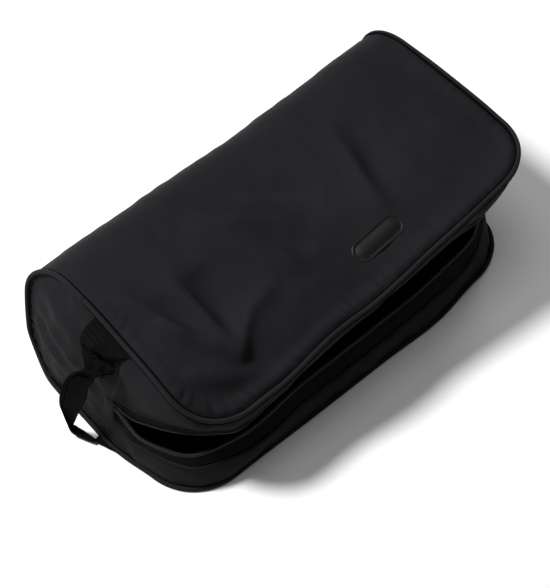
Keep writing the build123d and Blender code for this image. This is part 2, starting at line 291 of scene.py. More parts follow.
def sheet_piece(name, grid, uv, material, thickness=CLOTH, flip=False):
    """A sheet of cloth with real thickness. Its outer face is the grid; the inner face is offset
    against the grid's normals, and a rim joins the two."""
    rows, cols = grid.shape[:2]
    out = normals(grid) * (-1 if flip else 1)
    inner = grid - out * thickness
    vertices = np.concatenate([grid.reshape(-1, 3), inner.reshape(-1, 3)])
    uvs = np.concatenate([uv.reshape(-1, 2), uv.reshape(-1, 2)])
    index = np.arange(rows * cols).reshape(rows, cols)
    a, b = index[:-1, :-1].ravel(), index[:-1, 1:].ravel()
    c, d = index[1:, 1:].ravel(), index[1:, :-1].ravel()
    front = np.stack([a, b, c, d], 1) if not flip else np.stack([d, c, b, a], 1)
    back = front[:, ::-1] + rows * cols
    rim_line = np.concatenate([index[0, :-1], index[:-1, -1], index[-1, :0:-1], index[:0:-1, 0]])
    after = np.roll(rim_line, -1)
    rim = np.stack([after, rim_line, rim_line + rows * cols, after + rows * cols], 1)
    if flip:
        rim = rim[:, ::-1]
    faces = np.concatenate([front, back, rim]).tolist()
    return new_object(name, vertices, faces, material, uvs)


def frames_along(points, up=None):
    """Tangent, side and up directions along a line of points."""
    tangent = unit(np.gradient(points, axis=0))
    if up is None:
        side = np.zeros_like(tangent)
        first = np.cross(tangent[0], (0, 0, 1.0) if abs(tangent[0][2]) < 0.9 else (0, 1.0, 0))
        side[0] = first / np.linalg.norm(first)
        for i in range(1, len(points)):
            v = side[i - 1] - tangent[i] * (side[i - 1] @ tangent[i])
            side[i] = v / np.linalg.norm(v)
        return tangent, side, unit(np.cross(side, tangent))
    up = unit(up - tangent * np.sum(up * tangent, -1, keepdims=True))
    return tangent, np.cross(tangent, up), up


def sweep(name, points, section, material, up=None):
    """Sweeps a closed section, (side, up) points, along a line of points."""
    tangent, side, high = frames_along(points, up)
    section = np.asarray(section, float)
    ring = points[:, None] + side[:, None] * section[None, :, :1] + high[:, None] * section[None, :, 1:]
    count = len(section)
    length = np.concatenate([[0], np.cumsum(np.linalg.norm(np.diff(points, axis=0), axis=1))])
    around = np.concatenate([[0], np.cumsum(np.linalg.norm(np.diff(section, axis=0), axis=1))])
    uv = np.stack(np.broadcast_arrays(length[:, None], around[None, :]), -1)
    index = np.arange(len(points) * count).reshape(len(points), count)
    turn = np.roll(index, -1, axis=1)
    faces = np.stack([index[:-1].ravel(), turn[:-1].ravel(), turn[1:].ravel(), index[1:].ravel()], 1).tolist()
    faces += [index[0][::-1].tolist(), index[-1].tolist()]
    return new_object(name, ring.reshape(-1, 3), faces, material, uv.reshape(-1, 2))


def circle(radius, count=14):
    angle = np.arange(count) * 2 * math.pi / count
    return np.stack([np.cos(angle) * radius, np.sin(angle) * radius], 1)


def joined(name, parts, material):
    """One object from many small (vertices, faces) parts."""
    vertices, faces, start = [], [], 0
    for points, quads in parts:
        vertices.append(points)
        faces += [[i + start for i in quad] for quad in quads]
        start += len(points)
    return new_object(name, np.concatenate(vertices), faces, material)


def even_with(points, extra, spacing):
    """Points an even spacing apart along a line of points, with a second value carried along."""
    length = np.concatenate([[0], np.cumsum(np.linalg.norm(np.diff(points, axis=0), axis=1))])
    places = np.linspace(0, length[-1], max(2, int(round(length[-1] / spacing)) + 1))
    pick = lambda a: np.stack([np.interp(places, length, a[:, k]) for k in range(3)], 1)
    return pick(points), pick(extra)


STITCH_RING = [(0, 1), (1, 0), (0, -1), (-1, 0)]


def stitch(centre, along, out, length=2.4, thick=0.32):
    """One thread stitch that dips into the cloth at both ends."""
    side = np.cross(along, out)
    points = []
    for t in (-1, -0.6, 0, 0.6, 1):
        rise = thick * (1 - t * t) * 1.4 - thick * 0.6
        ring_size = thick * (0.45 if abs(t) == 1 else 1)
        for a, b in STITCH_RING:
            points.append(centre + along * t * length / 2 + side * a * ring_size + out * (b * ring_size + rise))
    quads = [[4 * i + j, 4 * i + (j + 1) % 4, 4 * i + 4 + (j + 1) % 4, 4 * i + 4 + j]
             for i in range(4) for j in range(4)]
    return np.array(points), quads + [[3, 2, 1, 0], [16, 17, 18, 19]]


def stitch_line(points, out, pitch=3.2):
    points, out = even_with(points, out, pitch)
    along = unit(np.gradient(points, axis=0))
    return [stitch(p, a, o) for p, a, o in zip(points[1:-1], along[1:-1], unit(out)[1:-1])]


# ================= Materials =================

def socket(shader, **values):
    for name, value in values.items():
        shader.inputs[name.replace("_", " ")].default_value = value


class Nodes:
    """A short way to write node trees."""

    def __init__(self, name):
        self.material = bpy.data.materials.new(name)
        self.material.use_nodes = True
        self.tree = self.material.node_tree
        self.shader = self.tree.nodes["Principled BSDF"]

    def add(self, kind, **settings):
        node = self.tree.nodes.new("ShaderNode" + kind)
        for key, value in settings.items():
            setattr(node, key, value)
        return node

    def link(self, source, target):
        self.tree.links.new(source, target)

    def math(self, operation, a, b=None):
        node = self.add("Math", operation=operation)
        for slot_, value in zip(node.inputs, (a, b)):
            if value is None:
                continue
            if isinstance(value, (int, float)):
                slot_.default_value = value
            else:
                self.link(value, slot_)
        return node.outputs[0]

    def noise(self, where, scale, detail=2.0, rough=0.5):
        node = self.add("TexNoise")
        node.inputs["Scale"].default_value = scale
        node.inputs["Detail"].default_value = detail
        node.inputs["Roughness"].default_value = rough
        self.link(where, node.inputs["Vector"])
        return node.outputs["Fac"]

    def ramp(self, factor, low, high, start=0.0, end=1.0):
        node = self.add("ValToRGB")
        node.color_ramp.elements[0].position, node.color_ramp.elements[1].position = start, end
        node.color_ramp.elements[0].color, node.color_ramp.elements[1].color = (*low, 1), (*high, 1)
        self.link(factor, node.inputs["Fac"])
        return node.outputs["Color"]

    def bump(self, height, distance, strength=1.0, under=None):
        node = self.add("Bump")
        node.inputs["Distance"].default_value = distance
        node.inputs["Strength"].default_value = strength
        self.link(height, node.inputs["Height"])
        if under is not None:
            self.link(under, node.inputs["Normal"])
        return node.outputs["Normal"]


def threads(n, u, v, pitch_u, pitch_v, power):
    """Raised lines both ways, as woven-in heavier threads."""
    lines = []
    for where, pitch in ((u, pitch_u), (v, pitch_v)):
        wave = n.math("SINE", n.math("MULTIPLY", where, 2 * math.pi / (pitch * MM)))
        lines.append(n.math("POWER", n.math("MAXIMUM", wave, 0.0), power))
    return n.math("MAXIMUM", *lines)


def weave_material(name, low, high, roughness, grid, grid_height, thread, thread_height, grid_sheen):
    """Cloth: colour varies softly, a fine plain weave, and a coarser grid of raised threads, whose lighter colour is
    painted sheen.
    """
    n = Nodes(name)
    place = n.add("TexCoord").outputs["Object"]
    uv = n.add("UVMap", uv_map="weave").outputs["UV"]
    split = n.add("SeparateXYZ")
    n.link(uv, split.inputs[0])
    u, v = split.outputs[0], split.outputs[1]
    grid_lines = threads(n, u, v, grid, grid, 5.0)
    fine = threads(n, u, v, thread, thread, 1.0)
    cloudy = n.noise(place, 9.0, 3.0)
    speck = n.noise(place, 900.0, 1.0)
    tone = n.math("ADD", n.math("MULTIPLY", cloudy, 0.7), n.math("MULTIPLY", speck, 0.3))
    # Painted sheen: the raised grid threads, a real woven pattern, are drawn lighter than the cloth around them.
    tone = n.math("ADD", tone, n.math("MULTIPLY", grid_lines, grid_sheen))
    n.link(n.ramp(tone, low, high, 0.25, 0.85), n.shader.inputs["Base Color"])
    rough = n.add("MapRange")
    rough.inputs["To Min"].default_value = roughness - 0.07
    rough.inputs["To Max"].default_value = roughness + 0.07
    n.link(cloudy, rough.inputs["Value"])
    n.link(rough.outputs[0], n.shader.inputs["Roughness"])
    crumple = n.bump(n.noise(place, 55.0, 4.0, 0.6), 0.0012, 0.35)
    coarse = n.bump(grid_lines, grid_height * MM, 0.8, crumple)
    n.link(n.bump(fine, thread_height * MM, 0.7, coarse), n.shader.inputs["Normal"])
    socket(n.shader, IOR=1.06)
    return n.material


def hard_material(name, low, high, roughness, metal, scratch=0.25, coat=0.0, ior=1.5):
    """Moulded or enamelled hard pieces: slight mottling, fine scratches, worn edges."""
    n = Nodes(name)
    place = n.add("TexCoord").outputs["Object"]
    mottle = n.noise(place, 140.0, 4.0, 0.6)
    n.link(n.ramp(mottle, low, high, 0.3, 0.8), n.shader.inputs["Base Color"])
    rough = n.add("MapRange")
    rough.inputs["To Min"].default_value = max(roughness - 0.06, 0.02)
    rough.inputs["To Max"].default_value = roughness + 0.1
    n.link(n.noise(place, 420.0, 3.0, 0.7), rough.inputs["Value"])
    n.link(rough.outputs[0], n.shader.inputs["Roughness"])
    n.link(n.bump(n.noise(place, 1500.0, 2.0), 0.00005, scratch), n.shader.inputs["Normal"])
    socket(n.shader, Metallic=metal, Coat_Weight=coat, IOR=ior)
    return n.material


NYLON = weave_material("nylon", (0.0095, 0.0095, 0.0106), (0.0175, 0.0175, 0.0192), 0.42, 2.1, 0.12, 0.42, 0.05,
                       0.45)
PIPING = weave_material("piping", (0.011, 0.011, 0.0122), (0.021, 0.021, 0.0229), 0.38, 1.1, 0.05, 0.4, 0.05, 0.25)
TAPE_CLOTH = weave_material("zip_tape", (0.0045, 0.0045, 0.0049), (0.010, 0.010, 0.0108), 0.72, 1.3, 0.12, 0.5, 0.06,
                            0.3)
BINDING = weave_material("binding", (0.005, 0.005, 0.0054), (0.010, 0.010, 0.0106), 0.78, 0.9, 0.10, 0.45, 0.06, 0.2)
WEBBING = weave_material("webbing", (0.0018, 0.0017, 0.0016), (0.0095, 0.0088, 0.0082), 0.85, 2.0, 0.55, 1.0, 0.2,
                         0.5)
# Almost black material for tubes laid in the grooves beside the piping cords: painted shade of the sewn grooves.
GROOVE_SHADE = weave_material("painted_groove_shade", (0.0018, 0.0018, 0.002), (0.004, 0.004, 0.0045), 0.85, 1.6, 0.1, 0.5, 0.05, 0.3)
THREAD = weave_material("thread", (0.009, 0.009, 0.0096), (0.017, 0.017, 0.018), 0.6, 0.6, 0.05, 0.3, 0.05, 0.3)
COIL = hard_material("zip_coil", (0.012, 0.012, 0.013), (0.024, 0.024, 0.0255), 0.36, 0.0)
BADGE = hard_material("badge_gloss", (0.005, 0.005, 0.0055), (0.009, 0.009, 0.0096), 0.34, 0.0, 0.03, 0.0, 1.28)
PLATED = hard_material("backing_metal", (0.05, 0.05, 0.053), (0.09, 0.09, 0.094), 0.4, 0.9)
ENAMEL = hard_material("slider_enamel", (0.015, 0.015, 0.016), (0.03, 0.03, 0.0315), 0.3, 0.6, 0.3, 0.3)


# ================= Main cloth: top, back and bottom in one length =================

def across(y):
    """Evenly spaced columns over the regular width at each row."""
    count = int(round(2 * HALF / STEP)) + 1
    return np.linspace(-1, 1, count)[None, :] * half_width(np.asarray(y, float))[:, None]


def corner_rows(spacing=STEP):
    """Row places from the front edge to the end of the front corners, close together in front."""
    count = int(round(CORNER * math.pi / 2 / spacing))
    angle = np.linspace(math.pi / 2, 0, count + 1)[:-1]
    return FRONT + CORNER - CORNER * np.sin(angle)


def main_rows():
    """(Y, Z) rows from the top's front edge, round the back, to the end of its lower bend."""
    flat = np.linspace(FRONT + CORNER, REAR, int(round((REAR - FRONT - CORNER) / STEP)) + 1)
    top_y = np.concatenate([corner_rows(), flat])
    rows = [(y, TOP) for y in top_y]
    angles = np.linspace(0, math.pi / 2, int(round(BEND * math.pi / 2 / STEP)) + 1)[1:]
    rows += [(REAR + BEND * math.sin(a), TOP - BEND + BEND * math.cos(a)) for a in angles]
    rows += [(BACK, z) for z in np.linspace(TOP - BEND, BEND, int(round((TOP - 2 * BEND) / STEP)) + 1)[1:]]
    rows += [(REAR + BEND * math.cos(a), BEND - BEND * math.sin(a)) for a in angles]
    return rows


SPLIT = -24.0                 # the part of the bottom in front of this stays with the shell


def cloth_grid(rows):
    """The main cloth's outer face over (Y, Z) rows of the regular bag, and its weave coordinates."""
    y = np.array([r[0] for r in rows])
    z = np.array([r[1] for r in rows])
    arc = np.concatenate([[0], np.cumsum(np.hypot(np.diff(y), np.diff(z)))])
    x = across(y)
    yy, zz = np.broadcast_to(y[:, None], x.shape), np.broadcast_to(z[:, None], x.shape)
    grid = slump(x, yy, zz)
    upper = smooth((zz - TOP + BEND) / BEND)
    relief = top_relief(x, yy) * upper
    wall = smooth((zz - 8) / 30) * (1 - upper) * smooth((HALF - np.abs(x)) / 24)
    relief = relief + wall * (0.9 * soft_lumps(x, zz * 1.6) + 0.4 * fine_lumps(x, zz))
    out = unit(np.cross(np.gradient(grid, axis=1), np.gradient(grid, axis=0)))
    grid = grid + out * relief[..., None]
    grid[..., 2] = np.maximum(grid[..., 2], CLOTH)
    return grid, np.stack([x, np.broadcast_to(arc[:, None], x.shape)], -1)


under_y = np.linspace(REAR, SPLIT, int(round((REAR - SPLIT) / STEP)) + 1)[1:]
rows_main = main_rows() + [(y, 0.0) for y in under_y]
grid_main, uv_main = cloth_grid(rows_main)
main_cloth = sheet_piece("main_cloth", grid_main, uv_main, NYLON, flip=True)

flat_under = np.linspace(SPLIT, FRONT + CORNER, int(round((SPLIT - FRONT - CORNER) / STEP)) + 1)
front_under = [(y, 0.0) for y in np.concatenate([flat_under, corner_rows()[::-1]])]
grid_under, uv_under = cloth_grid(front_under)
bottom_cloth = sheet_piece("bottom_front_cloth", grid_under, uv_under, NYLON, flip=True)


# ================= End gussets =================

gusset_lumps = ripples(9, 16, 46, 21)


def gusset_grid(side):
    """The end panel behind the zip: columns from the zip end to the rounded back."""
    ys = np.concatenate([np.linspace(ZIP_END, REAR, 26), REAR + BEND * np.sin(
        np.linspace(0, math.pi / 2, 20)[1:])])
    level = np.linspace(0, 1, 43)
    into = np.clip(ys - REAR, 0, BEND)
    reach = np.sqrt(np.maximum(BEND ** 2 - into ** 2, 0))
    low, high = BEND - reach, TOP - BEND + reach
    y = np.broadcast_to(ys[None, :], (len(level), len(ys)))
    z = low[None, :] + (high - low)[None, :] * level[:, None]
    grid = slump(side * HALF, y, z)
    inner = np.minimum(np.minimum(z - low, high - z), BACK - y)
    free = smooth(inner / 16) * smooth((y - ZIP_END) / 26)
    crease = 0
    if side < 0:
        for (y0, z0), (y1, z1), width, height in (
                ((88, 78), (30, 62), 5, 3.4), ((94, 62), (40, 42), 5, 3.8), ((92, 44), (44, 26), 5, 3.2),
                ((84, 28), (50, 14), 5, 2.4), ((70, 104), (40, 84), 8, 2.6), ((40, 60), (14, 30), 7, -3.0),
                ((96, 70), (60, 60), 4, -2.4), ((92, 52), (60, 40), 4, -2.8), ((88, 36), (60, 24), 4, -2.4),
                ((20, 84), (-4, 60), 7, 3.0), ((30, 40), (4, 20), 8, 2.6)):
            crease = crease + fold(y, z, (y0, z0), (y1, z1), width * 1.2, height, 0.25)
    belly = (4.0 * np.sin(math.pi * np.clip((z - low) / (high - low), 0, 1)) * smooth(inner / 40)
             * smooth((y - ZIP_END) / 40))
    relief = free * (0.9 * gusset_lumps(y, z) + 0.6 * crease) + belly
    relief = relief + 0.6 * edge_puckers(y, z) * np.exp(-((inner - 4) / 5) ** 2)
    grid[..., 0] += side * relief
    return grid, np.stack([y, z], -1)


gussets = {}
for side, name in ((-1, "left_end_cloth"), (1, "right_end_cloth")):
    grid, uv = gusset_grid(side)
    gussets[side] = sheet_piece(name, grid, uv, NYLON, flip=side < 0)


# ================= The mouth: rails along the zip =================

STRAIGHT = ZIP_END - (FRONT + CORNER)
TURN = CORNER * math.pi / 2
FACE = 2 * (HALF - CORNER)
RUN = 2 * STRAIGHT + 2 * TURN + FACE


def mouth_plan(s):
    """Regular plan point at a distance s along the mouth, from the left zip end to the right."""
    s = np.asarray(s, float)
    flipped = s > RUN / 2
    d = np.where(flipped, RUN - s, s)
    angle = np.clip((d - STRAIGHT) / CORNER, 0, math.pi / 2)
    x = -(HALF - CORNER) - CORNER * np.cos(angle) + np.maximum(d - STRAIGHT - TURN, 0)
    y = np.where(d < STRAIGHT, ZIP_END - d, FRONT + CORNER - CORNER * np.sin(angle))
    nx, ny = -np.cos(angle), -np.sin(angle)
    sign = np.where(flipped, -1, 1)
    return x * sign, y, nx * sign, ny


def place_x(x):
    """Distance along the mouth of a point of the front face."""
    return STRAIGHT + TURN + (x + HALF - CORNER)


LAP = 4.0                     # the bands lie over the end panels by this much
S = np.linspace(-LAP, RUN + LAP, int(round((RUN + 2 * LAP) / STEP)) + 1)
plan_x, plan_y, out_x, out_y = mouth_plan(S)
OUT = np.stack([out_x, out_y, np.zeros_like(out_x)], -1)
upper_rail = slump(plan_x, plan_y, TOP)
lower_rail = slump(plan_x, plan_y, 0.0)
LAPPED = (1 - smooth(np.minimum(S, RUN - S) / 14))[:, None]
END = smooth(np.minimum(S, RUN - S) / 34)[:, None]      # 0 at the zip ends, 1 along the open mouth

# Free edge of the lid's tape as it hangs, from the left zip end to the right
HEM_PLACES = [0, 22, 46, 75, 98, place_x(-126), place_x(-95), place_x(-60), place_x(-30), place_x(20),
              place_x(68), place_x(110), place_x(138), RUN - STRAIGHT - 44, RUN - STRAIGHT - 8,
              RUN - 22, RUN]
HEM = [(-188, -4, 49), (-184.5, -26, 53), (-175.5, -50, 58), (-161, -73, 63), (-142, -84, 56), (-126, -86, 46),
       (-95, -86, 49), (-60, -86, 58), (-30, -86, 64), (20, -86, 69), (68, -86, 74), (110, -86, 80),
       (139, -88, 83), (161, -80, 82), (177, -54, 74), (182, -30, 63), (183, -12, 57)]
# Folded top of the lower band, and the free edge of its tape
FOLD_PLACES = [0, 10, 23, 33, 43, 74, 105, place_x(-60), place_x(20), place_x(88), place_x(121),
               place_x(138), RUN - STRAIGHT - 40, RUN - STRAIGHT - 15, RUN - 34, RUN]
BAND_TOP = [(-190.5, -5, 37), (-192.5, -12, 31), (-192.5, -22, 29), (-191, -32, 29.5), (-187.5, -44, 30),
            (-170, -80, 29), (-138, -94, 28), (-60, -95, 28), (20, -97, 29), (88, -96, 31), (121, -93, 30),
            (138, -90, 34), (156, -80, 40), (175, -64, 42), (182.5, -46, 42), (183, -12, 42)]
TAPE_EDGE = [(-188.5, -5, 47), (-189.5, -15, 39), (-188.5, -28, 36.5), (-186, -38, 36), (-183, -48, 36.5),
             (-167, -75, 37), (-137, -86, 38), (-60, -87, 41), (20, -88, 42), (84, -88, 45), (118, -86, 48),
             (135, -84, 48), (152, -77, 51), (173, -62, 54), (182.6, -46, 54.4), (183, -12, 54.5)]

hem_line = line(S, HEM_PLACES, HEM)
band_line = line(S, FOLD_PLACES, BAND_TOP)
edge_line = line(S, FOLD_PLACES, TAPE_EDGE)
band_lumps = ripples(8, 18, 50, 31)


def strip(start, end, rows, bulge, lumps, seed_row, regular=None):
    """Cloth between two lines, with a soft outward bulge. Near the zip ends it follows the
    regular wall, so that it meets the end panels."""
    h = np.linspace(0, 1, rows)[:, None, None]
    grid = mix(start[None], end[None], h)
    swell = np.sin(math.pi * h) * bulge
    drop = np.linalg.norm(end - start, axis=1)[None, :, None]
    relief = lumps * band_lumps(S[None, :, None], seed_row + h * drop) * np.sin(math.pi * np.clip(h, 0, 1)) ** 0.5
    grid = grid + OUT[None] * (swell + relief)
    if regular is not None:
        heights = mix(regular[0], regular[1], h[..., 0])
        wall = slump(plan_x[None] + 0 * heights, plan_y[None] + 0 * heights, heights + 0 * plan_x[None])
        grid = mix(wall, grid, END[None]) + OUT[None] * LAPPED[None]
    uv = np.stack([np.broadcast_to(S[None], grid.shape[:2]), seed_row + h[..., 0] * drop[..., 0]], -1)
    return grid, uv


regular_tape = TAPE + TEETH
band_bulge = (2.6 - 1.4 * smooth((S - place_x(90)) / 50))[None, :, None]
hem_at = 1 - 10 / np.linalg.norm(hem_line - upper_rail, axis=1)[:, None]
cloth_hem = mix(upper_rail, hem_line, hem_at) + OUT * 0.6
hem_height = TOP - (TOP - ZIP - 3) * hem_at[:, 0]
grid_upper, uv_upper = strip(upper_rail - [0, 0, 1.2], cloth_hem, 17, 3.5, 0.8, 300, (TOP - 1.2, hem_height[None, :]))
upper_band = sheet_piece("upper_band_cloth", grid_upper, uv_upper, NYLON, flip=True)
grid_lower, uv_lower = strip(lower_rail, band_line, 13, band_bulge, 0.55, 500, (0.0, ZIP - regular_tape))
lower_band = sheet_piece("lower_band_cloth", grid_lower, uv_lower, NYLON)

tape_edge = mix(slump(plan_x, plan_y, ZIP + 3), hem_line, END)
grid_upper_tape, uv_upper_tape = strip(grid_upper[-2] - OUT * 1.1, tape_edge - OUT * 0.6, 8, 0.5, 0, 700)
upper_tape = sheet_piece("upper_zip_tape", grid_upper_tape, uv_upper_tape, TAPE_CLOTH, 0.7, flip=True)
tape_top = mix(slump(plan_x, plan_y, ZIP - TEETH), edge_line, END)
grid_lower_tape, uv_lower_tape = strip(grid_lower[-2] - OUT * 1.2, tape_top, 9, 0.8, 0.4, 800)
lower_tape = sheet_piece("lower_zip_tape", grid_lower_tape, uv_lower_tape, TAPE_CLOTH, 0.7)


# ================= Zip coils =================

def coil(name, points, toward, out, pitch=1.5, radius=0.42):
    """A row of coil teeth: one bent wire loop per tooth, standing on the tape's edge."""
    base, lean = even_with(points, toward, pitch)
    lean = unit(lean)
    outward = even_with(points, out, pitch)[1]
    outward = unit(outward - lean * np.sum(outward * lean, -1, keepdims=True))
    along = unit(np.gradient(base, axis=0))
    parts = []
    for p, d, o, a in zip(base, lean, outward, along):
        loop = [p - d * 0.8 + o * 0.9, p + d * 0.9 + o * 1.0, p + d * 2.0 + o * 0.5, p + d * 2.0 - o * 0.5,
                p + d * 0.9 - o * 1.0, p - d * 0.8 - o * 0.9]
        loop = np.array([q + a * 0.3 * (i / 5 - 0.5) for i, q in enumerate(loop)])
        way = unit(np.gradient(loop, axis=0))
        across_ = unit(np.cross(way, a))
        ring = [[q + a * radius * c + w * radius * t for c, t in ((1, 0), (0, 1), (-1, 0), (0, -1))]
                for q, w in zip(loop, across_)]
        quads = [[4 * i + j, 4 * i + (j + 1) % 4, 4 * i + 4 + (j + 1) % 4, 4 * i + 4 + j]
                 for i in range(5) for j in range(4)]
        parts.append((np.array(ring).reshape(-1, 3), quads + [[3, 2, 1, 0], [20, 21, 22, 23]]))
    return joined(name, parts, COIL)


lower_coil = coil("lower_zip_coil", grid_lower_tape[-1], grid_lower_tape[-1] - grid_lower_tape[-2], OUT)
held = S < RUN - 36           # beyond this the slider's own stretch is left free of the upper coil
upper_coil = coil("upper_zip_coil", grid_upper_tape[-1][held], (grid_upper_tape[-1] - grid_upper_tape[-2])[held],
                  OUT[held])


# ================= Piping =================

PIPE = 2.0                    # radius
PIPE_SPLIT = 40.0             # behind this the end piping stays with the shell
PIPE_OUT = 1.7                # the cord's centre lies outside the sewn edge ...
PIPE_UP = 0.6                 # ... and a little above it
# The shade in the piping's groove is painted: an almost black tube of this radius lies beside the cord.
GROOVE_SHADE_RADIUS = 0.85                 # radius of the dark sewn valley beside the cord


def rail_points():
    """The sewn edge of the top, from the left rear along the front to the right rear."""
    rear_y = np.linspace(PIPE_SPLIT, ZIP_END, int((PIPE_SPLIT - ZIP_END) / 2) + 1)[:-1]
    left = [(-HALF, y) for y in rear_y]
    dense = np.linspace(0, RUN, int(RUN / 2) + 1)
    px, py, _, _ = mouth_plan(dense)
    middle = list(zip(px, py))
    right = [(HALF, y) for y in rear_y[::-1]]
    return np.array(left + middle + right)


plan_rail = rail_points()
rail = slump(plan_rail[:, 0], plan_rail[:, 1], TOP)
plan_tangent = unit(np.gradient(plan_rail, axis=0))
rail_out = np.stack([plan_tangent[:, 1], -plan_tangent[:, 0], np.zeros(len(plan_rail))], -1)
upper_pipe = rail + rail_out * PIPE_OUT + np.array([0, 0, PIPE_UP])
lid_pipe = sweep("lid_piping_cord", upper_pipe, circle(PIPE), PIPING)


def groove_shade_tubes(name, path, out, lift):
    """Almost black tubes in the sewn grooves on both sides of a piping cord, above and below it: painted shade of the
    grooves.
    """
    inner = sweep(name, path - out * 0.6 + lift * 1.2, circle(GROOVE_SHADE_RADIUS, 8), GROOVE_SHADE)
    outer = sweep(name + "_below", path + out * 2.9 - lift * 1.8, circle(GROOVE_SHADE_RADIUS, 8), GROOVE_SHADE)
    return inner, outer


lid_groove_shades = groove_shade_tubes("lid_piping_groove_shade", rail, rail_out, np.array([0, 0, 1.0]))


def shell_rail():
    """Round the left back end, along the bottom front, and round the right back end."""
    def end_path(side):
        points = [(side * HALF, y, TOP) for y in np.arange(PIPE_SPLIT, REAR, 2.0)]
        angle = np.linspace(0, math.pi / 2, 26)
        points += [(side * HALF, REAR + BEND * math.sin(a), TOP - BEND + BEND * math.cos(a)) for a in angle]
        points += [(side * HALF, BACK, z) for z in np.arange(TOP - BEND - 2, BEND, -2.0)]
        points += [(side * HALF, REAR + BEND * math.cos(a), BEND - BEND * math.sin(a)) for a in angle]
        points += [(side * HALF, y, 0.0) for y in np.arange(REAR - 2, ZIP_END, -2.0)]
        return points
    dense = np.linspace(0, RUN, int(RUN / 2) + 1)
    px, py, _, _ = mouth_plan(dense)
    return np.array(end_path(-1) + [(x, y, 0.0) for x, y in zip(px, py)] + end_path(1)[::-1])


def away(regular):
    """Outward direction in plan at points of the regular bag's ends and front."""
    cx = np.clip(regular[:, 0], -(HALF - CORNER), HALF - CORNER)
    cy = np.maximum(regular[:, 1], FRONT + CORNER)
    d = np.stack([regular[:, 0] - cx, np.minimum(regular[:, 1] - cy, 0), np.zeros(len(regular))], -1)
    return unit(d)


low_rail = shell_rail()
low_out = away(low_rail)
low_lift = np.stack([0 * low_rail[:, 0], np.clip((low_rail[:, 1] - REAR) / BEND, 0, 1),
                     np.clip((low_rail[:, 2] - TOP + BEND) / BEND, 0, 1)], -1)
low_pipe = slump(low_rail[:, 0], low_rail[:, 1], low_rail[:, 2]) + low_out * PIPE_OUT + low_lift * PIPE_UP
low_pipe[:, 2] = np.maximum(low_pipe[:, 2], PIPE + 0.2)
shell_pipe = sweep("shell_piping_cord", low_pipe, circle(PIPE), PIPING)
# Painted shade: an almost black tube along the groove beside the shell's piping cord.
groove_shade_path = slump(low_rail[:, 0], low_rail[:, 1], low_rail[:, 2]) - low_out * 0.2 + low_lift * 1.2
groove_shade_path[:, 2] = np.maximum(groove_shade_path[:, 2], 4.4)
shell_groove_shade = sweep("shell_piping_groove_shade", groove_shade_path, circle(0.8, 8), GROOVE_SHADE)


# ================= Seam bindings inside =================

TAPE_SECTION = [(-4, -0.5), (-2, -0.75), (2, -0.75), (4, -0.5), (4, 0.5), (2, 0.75), (-2, 0.75), (-4, 0.5)]
inside_top = slump(plan_rail[:, 0], plan_rail[:, 1], TOP) - rail_out * 6.5 + np.array([0, 0, -2.6])
lid_binding = sweep("lid_binding_tape", inside_top, TAPE_SECTION, BINDING,
                    up=np.broadcast_to(np.array([0, 0, 1.0]), inside_top.shape))
front_part = (low_rail[:, 1] <= ZIP_END + 0.1) & (low_rail[:, 2] < 1)
front_low = slump(low_rail[:, 0], low_rail[:, 1], 2.6)[front_part] - low_out[front_part] * 7.5
front_low[:, 2] = np.maximum(front_low[:, 2], 2.4)
front_binding = sweep("front_binding_tape", front_low, TAPE_SECTION, BINDING,
                      up=np.broadcast_to(np.array([0, 0, 1.0]), front_low.shape))
bindings = [(front_binding, "front_seam_binding")]
for side, node in ((-1, "left_seam_binding"), (1, "right_seam_binding")):
    on_end = low_rail[(np.sign(low_rail[:, 0]) == side) & (np.abs(low_rail[:, 0]) > HALF - 0.1)
                      & (low_rail[:, 1] > ZIP_END)]
    centre = np.array([0, 30.0, TOP / 2])
    toward = centre - on_end
    toward[:, 0] = 0
    path = slump(on_end[:, 0], on_end[:, 1], on_end[:, 2]) + unit(toward) * 5.5
    path[:, 0] -= side * 2.2
    path[:, 2] = np.maximum(path[:, 2], 3.2)
    sideways = np.zeros_like(path)
    sideways[:, 0] = side
    bindings.append((sweep(node.replace("seam_binding", "binding_tape"), path, TAPE_SECTION, BINDING,
                           up=sideways), node))


# ================= Zip end tabs =================

def end_tab(name, side):
    """A folded scrap of cloth sewn over the zip end."""
    rows, cols = 11, 9
    y = ZIP_END + 3.5 + np.linspace(-7, 7, cols)
    z = ZIP + np.linspace(-15, 3, rows)
    yy, zz = np.meshgrid(y, z)
    grid = slump(side * HALF, yy, zz)
    rim = np.minimum(np.minimum(yy - y[0], y[-1] - yy), np.minimum(zz - z[0], z[-1] - zz))
    grid[..., 0] += side * (1.2 + 1.2 * smooth(rim / 2.5) + 0.3 * fine_lumps(yy * 2, zz * 2))
    return sheet_piece(name, grid, np.stack([yy, zz], -1), NYLON, 1.0, flip=side < 0)


tabs = [end_tab("left_tab_cloth", -1), end_tab("right_tab_cloth", 1)]


# ================= Badge =================

badge_low, badge_high = cad_mm("badge_plate")
badge_x, badge_y = (badge_low[:2] + badge_high[:2]) / 2
BADGE_SIZE = (badge_high - badge_low)[:2]


def surface_at(x, y):
    """A point of the sagged top cloth."""
    p = slump(x, y, TOP)
    p[..., 2] += top_relief(np.asarray(x, float), np.asarray(y, float))
    return p


def badge_frame():
    """The badge's centre on the cloth, and its three directions."""
    reach = 18.0
    e = surface_at(badge_x + reach, badge_y) - surface_at(badge_x - reach, badge_y)
    n = surface_at(badge_x, badge_y + 8) - surface_at(badge_x, badge_y - 8)
    along = unit(e)
    up = unit(np.cross(e, n))
    centre = surface_at(badge_x, badge_y)
    return centre, along, np.cross(up, along), up


